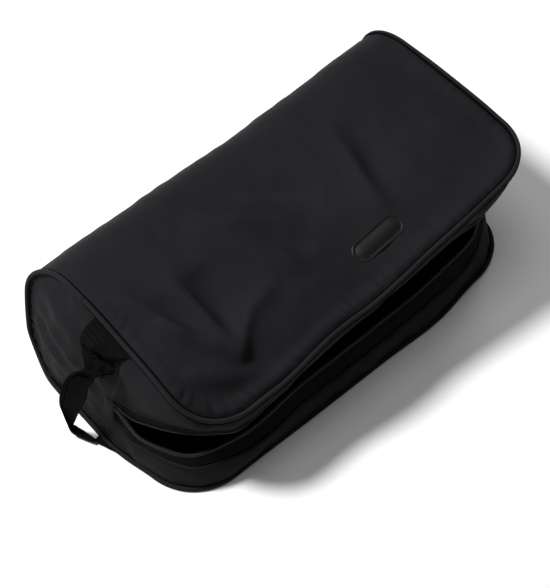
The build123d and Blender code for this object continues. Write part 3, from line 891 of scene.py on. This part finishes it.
def badge_piece():
    """A plain domed oblong plate with a raised rim."""
    centre, along, cross_, up = badge_frame()
    rings = [(0.0, -1.2), (0.0, 0.6), (0.35, 1.35), (0.9, 1.7), (1.7, 1.75), (2.4, 1.35), (3.0, 1.15), (4.2, 1.45),
             (6.0, 1.85), (8.0, 2.05), (9.6, 2.1)]
    count = 96
    vertices, faces = [], []
    half_l, half_w = BADGE_SIZE / 2
    for inset, height in rings:
        for k in range(count):
            angle = 2 * math.pi * k / count
            radius = max(half_w - inset, 0.35)
            straight = half_l - half_w
            px = math.cos(angle) * radius + math.copysign(straight, math.cos(angle))
            py = math.sin(angle) * radius
            vertices.append(centre + along * px + cross_ * py + up * (height + 0.2))
    for r in range(len(rings) - 1):
        for k in range(count):
            a, b = r * count + k, r * count + (k + 1) % count
            faces.append([a, b, b + count, a + count])
    faces.append(list(range(count))[::-1])
    faces.append([(len(rings) - 1) * count + k for k in range(count)])
    return new_object("badge_dome", vertices, faces, BADGE)


badge = badge_piece()
b_centre, b_along, _, b_up = badge_frame()
back_points = np.array([b_centre + b_along * t - b_up * 2.6 for t in np.linspace(-19, 19, 21)])
badge_back = sweep("badge_back_strip", back_points,
                   [(-4, -0.3), (-3.4, -0.6), (3.4, -0.6), (4, -0.3), (4, 0.3), (3.4, 0.6), (-3.4, 0.6), (-4, 0.3)],
                   PLATED, up=np.broadcast_to(b_up, back_points.shape))


# ================= Handle =================

PINCH = np.array([SWING[0] + 5.5, SWING[1] - 4.0, 105.5])
PINCH_SIDE = np.array([-4.5, 6.0, 1.5])


def between(outer, inner, bow, rows=60, cols=17):
    """A strap between its two long edges, with a rounded cross-section."""
    t = np.linspace(0, len(outer) - 1, rows)
    places = list(range(len(outer)))
    a, b = line(t, places, outer), line(t, places, inner)
    w = np.linspace(0, 1, cols)[None, :, None]
    grid = mix(a[:, None], b[:, None], w)
    out = normals(grid)
    grid = grid + out * (bow * (1 - (2 * w - 1) ** 2))
    middle = (a + b) / 2
    length = np.concatenate([[0], np.cumsum(np.linalg.norm(np.diff(middle, axis=0), axis=1))])
    uv = np.stack(np.broadcast_arrays(w[..., 0] * GRIP_WIDE, length[:, None]), -1)
    return grid, uv


GRIP_OUTER = [(-201.5, 4, 109), (-206, 9, 107), (-211.5, 16.5, 94), (-215, 24, 69), (-216.5, 28, 46), (-216.5, 26, 29),
              (-216, 23.5, 14), (-215.5, 20.5, 5.5), (-213, 14, 4.4), (-210, 7, 4.2), (-207.5, 2, 4.2)]
GRIP_INNER = [(-195.5, -3.5, 106), (-197, -3.5, 103), (-201, 3, 86), (-204, 6.5, 65), (-207, 15, 40),
              (-209.5, 20, 22), (-210, 24.5, 9), (-208.5, 24, 4.6), (-206.5, 17, 4.2), (-205, 9, 4.2),
              (-204, 4, 4.2)]
grip_grid, grip_uv = between(GRIP_OUTER, GRIP_INNER, 1.6, 84)
grip_outer = sheet_piece("grip_webbing", grip_grid, grip_uv, WEBBING, 1.7)
# The webbing is folded in half along the grip: its second layer lies behind, shorter and narrower
layer = (slice(11, -18), slice(3, None))
grip_back = (grip_grid - normals(grip_grid) * 2.0)[layer] + np.array([0.6, -0.5, 0])
grip_inner = sheet_piece("grip_webbing_fold", grip_back, grip_uv[layer], WEBBING, 1.5)


def upper_fan():
    """Webbing sewn under the top piping. It stands out as a short flap, folds under and gathers
    into the pinch of the grip."""
    cols, steps = 37, 30
    a = np.linspace(-1, 1, cols)
    ripple = np.cos(a * 2.6 * math.pi)
    y_top = SWING[1] + 1.5 + a * 21
    top = slump(-HALF, y_top, TOP) + np.array([1.0, 0, -2.0])
    root = slump(-HALF, y_top, TOP) + np.array([-2.6, 0.6, -4.0])
    lip = line(a, [-1, -0.5, 0, 0.5, 1], [(-178.5, -4, 105), (-184, 5, 110), (-188, 15, 113), (-187, 25, 112),
                                          (-183, 33, 107)])
    lip = lip + np.outer(0.8 * ripple, (-0.6, 0, 1.0))
    under = line(a, [-1, -0.5, 0, 0.5, 1], [(-181, -5, 99), (-181, 2, 100), (-183, 10, 100), (-184, 20, 99),
                                            (-188, 28, 95)])
    under = under + np.outer(1.6 * ripple, (-1.0, 0, 0.3))
    throat = PINCH + np.outer(a, PINCH_SIDE * 1.5) + np.array([4.5, 0.5, -3.0]) + np.outer(1.8 * ripple, (-0.5, 0, 1.0))
    pinch = PINCH + np.outer(a, PINCH_SIDE) + np.outer(1.2 * ripple, (0, 0, 1.0))
    grid = np.zeros((steps, cols, 3))
    for k in range(cols):
        grid[:, k] = line(np.linspace(0, 5, steps), [0, 1, 2, 3, 4, 5],
                          [top[k], root[k], lip[k], under[k], throat[k], pinch[k]])
    uv = np.stack(np.broadcast_arrays(a[None, :] * WEBBING_WIDE / 2, np.linspace(0, 52, steps)[:, None]), -1)
    return grid, uv


fan_grid, fan_uv = upper_fan()
fan = sheet_piece("handle_upper_webbing", fan_grid, fan_uv, WEBBING, 1.5)


def pinch_bar():
    """The sewn bar that holds the gathered webbing and the grip together."""
    ends = np.array([PINCH + PINCH_SIDE * t + np.array([-1.2, 0, 0.6 - 0.8 * t * t])
                     for t in np.linspace(-1.1, 1.1, 9)])
    return sweep("handle_pinch_bar", ends, [(-1.6, -1), (0, -1.4), (1.6, -1), (2.0, 0), (1.6, 1), (0, 1.5), (-1.6, 1),
                                            (-2.0, 0)], WEBBING)


pinch = pinch_bar()


def lower_strap():
    """Webbing on the floor from the bottom seam to the end of the grip."""
    outer = [(-206.5, 4, 2.3), (-204, -2, 2.2), (-200.5, -12, 2.0), (-196, -24, 2.0), (-188, -30, 2.0)]
    inner = [(-196, 6, 2.3), (-192, 8, 2.2), (-188, 8, 2.0), (-184, 6, 2.0), (-182, 2, 2.0)]
    return between(outer, inner, 0.3, 24, 13)


low_grid, low_uv = lower_strap()
low_web = sheet_piece("handle_lower_webbing", low_grid, low_uv, WEBBING, 1.4)


# ================= Stitching =================

upper_thread = joined("upper_hem_stitching", stitch_line(grid_upper[-2] + OUT * 0.4, OUT), THREAD)
lower_thread = joined("lower_hem_stitching", stitch_line(grid_lower[-2] + OUT * 0.4, OUT), THREAD)
box = [(7, 3), (7, 33), (10, 33), (10, 3), (7, 3)]     # corners on the fan, (row, column)
fan_out = normals(fan_grid)
box_parts = []
for (r0, c0), (r1, c1) in zip(box[:-1], box[1:]):
    count = max(abs(r1 - r0), abs(c1 - c0)) * 2
    ri, ci = (np.round(np.linspace(*ends, count)).astype(int) for ends in ((r0, r1), (c0, c1)))
    box_parts += stitch_line(fan_grid[ri, ci] + fan_out[ri, ci] * 0.3, fan_out[ri, ci], 3.0)
fan_thread = joined("handle_box_stitching", box_parts, THREAD)
sewn = (slice(10, -14), 4)
grip_out = normals(grip_grid)[sewn]
grip_thread = joined("grip_stitching", stitch_line(grip_grid[sewn] + grip_out * 0.25, grip_out, 3.4), THREAD)


# ================= Who rides on what =================

def folds_with_lid(piece):
    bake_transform(piece)


def done(piece, nodes=(), body=None):
    if body is None:
        folds_with_lid(piece)
    else:
        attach(piece, body)
    if nodes:
        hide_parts(*nodes)


done(main_cloth, ["main_panel", "top_panel"])
done(bottom_cloth, body="shell")
done(gussets[-1], ["left_end_panel"])
done(gussets[1], ["right_end_panel"])
done(upper_band, ["upper_band"])
done(upper_tape, ["upper_zipper_tape"])
done(upper_coil, ["upper_zipper_teeth"])
done(lid_pipe, ["lid_piping"])
for piece in lid_groove_shades:
    done(piece)
done(shell_groove_shade, body="shell")
done(lid_binding, ["lid_seam_binding"])
done(upper_thread)
done(lower_band, ["lower_band"], "shell")
done(lower_tape, ["lower_zipper_tape"], "shell")
done(lower_coil, ["lower_zipper_teeth"], "shell")
done(lower_thread, body="shell")
done(shell_pipe, ["shell_piping"], "shell")
for piece, node in bindings:
    done(piece, [node], "shell" if node == "front_seam_binding" else None)
done(tabs[0], ["left_zipper_tab"], "shell")
done(tabs[1], ["right_zipper_tab"], "shell")
done(badge, ["badge_plate"], "lid")
done(badge_back, ["badge_backing"], "lid")
done(fan, ["handle_upper_end"])
done(fan_thread)
done(pinch, body="shell")
done(grip_thread, body="handle")
done(low_web, ["handle_lower_end"], "shell")
done(grip_outer, ["handle_grip"], "handle")
done(grip_inner, body="handle")
for node, material in (("slider_body", ENAMEL), ("slider_pull", ENAMEL)):
    part = frame["nodes"][node]
    part.data.materials.clear()
    part.data.materials.append(material)


# ================= Floor, light and camera =================

def floor():
    n = Nodes("floor")
    place = n.add("TexCoord").outputs["Object"]
    n.link(n.ramp(n.noise(place, 3.0), (0.92, 0.92, 0.92), (0.95, 0.95, 0.95)), n.shader.inputs["Base Color"])
    socket(n.shader, Roughness=0.9)
    mesh = bpy.data.meshes.new("floor")
    size = 6.0
    mesh.from_pydata([(-size, -size, 0), (size, -size, 0), (size, size, 0), (-size, size, 0)], [], [(0, 1, 2, 3)])
    mesh.materials.append(n.material)
    thing = bpy.data.objects.new("floor", mesh)
    bpy.context.collection.objects.link(thing)


def area_light(name, place, target, size, power):
    light = bpy.data.lights.new(name, "AREA")
    light.shape = "DISK"
    light.size = size
    light.energy = power
    thing = bpy.data.objects.new(name, light)
    thing.location = place
    thing.rotation_euler = (Vector(target) - Vector(place)).to_track_quat("-Z", "Y").to_euler()
    bpy.context.collection.objects.link(thing)


floor()
area_light("key", (-0.85, 0.85, 1.85), (0, 0, 0.05), 0.4, 54)
area_light("fill", (1.5, 0.9, 1.5), (0, 0, 0.05), 1.0, 6)
area_light("top", (-0.1, 0.1, 2.1), (0, 0, 0.05), 0.9, 6)
bpy.context.scene.view_settings.view_transform = "Standard"
world = bpy.data.worlds.new("studio")
world.use_nodes = True
world.node_tree.nodes["Background"].inputs[0].default_value = (0.95, 0.97, 1.0, 1)
world.node_tree.nodes["Background"].inputs[1].default_value = 0.14
bpy.context.scene.world = world

camera_data = bpy.data.cameras.new("camera")
camera_data.lens = 92.63
camera_data.sensor_width = 36.0
camera = bpy.data.objects.new("camera", camera_data)
camera.location = Vector((-0.4929, -0.5284, 1.0899))
aim = Vector((0.0009, 0.0124, 0.0))
camera.rotation_euler = (aim - camera.location).to_track_quat("-Z", "Y").to_euler()
bpy.context.collection.objects.link(camera)
bpy.context.scene.camera = camera
